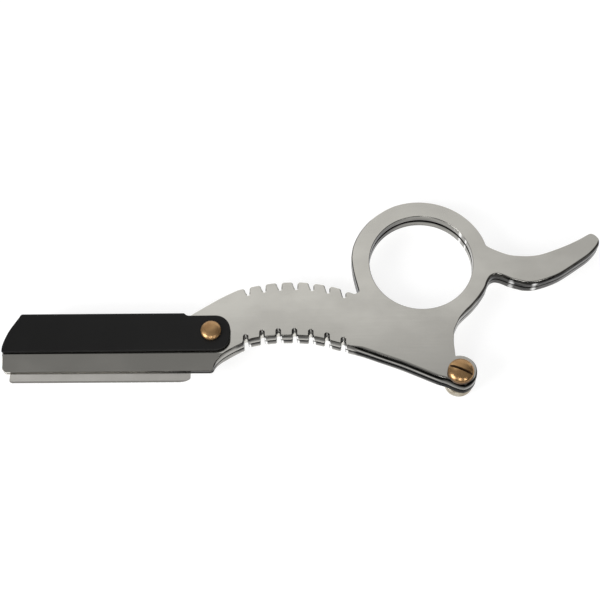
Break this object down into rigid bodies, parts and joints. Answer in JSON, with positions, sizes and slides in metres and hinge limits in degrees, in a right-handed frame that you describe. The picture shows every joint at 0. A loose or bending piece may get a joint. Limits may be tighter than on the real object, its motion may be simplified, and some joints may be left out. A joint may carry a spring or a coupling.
{
  "type": "finger razor",
  "caption": "Barber's razor of two flat steel plates on a hinge screw, with a finger ring and a tang, notched neck edges, a swinging black lock channel and a clamped half blade.",
  "frame": {"origin": "centre of the hinge nut's flat end, on the hinge screw's axis", "axes": "+X along the blade's cutting edge, from the blade end towards the tang; +Y from the cutting edge towards the finger ring; +Z through the plates, from the hinge nut towards the screw's slotted head"},
  "size_m": [0.1435, 0.0491, 0.0102],
  "materials": {
    "polished_steel": "mirror polished",
    "blade_steel": "fine satin",
    "black_satin_paint": "satin",
    "brass": "polished"
  },
  "bodies": {
    "front_half": {"front_plate": "polished_steel", "hinge_screw": "brass", "hinge_nut": "brass", "lock_rivet": "brass", "rivet_washer": "brass", "blade_stud_outer": "blade_steel", "blade_stud_inner": "blade_steel"},
    "rear_half": {"rear_plate": "polished_steel"},
    "lock": {"lock_channel": "black_satin_paint"},
    "blade": {"half_blade": "blade_steel"}
  },
  "joints": [
    {"name": "plate_hinge", "type": "hinge", "parent": "front_half", "child": "rear_half", "pos_m": [0, 0, 0.00392], "axis": [0, 0, 1], "range_deg": [0, 60]},
    {"name": "lock_swing", "type": "hinge", "parent": "front_half", "child": "lock", "pos_m": [-0.0585, 0.01042, 0.00517], "axis": [0, 0, 1], "range_deg": [-46, 0]},
    {"name": "blade_exit", "type": "slide", "parent": "front_half", "child": "blade", "axis": [0, -1, 0], "range_m": [0, 0.012]}
  ]
}
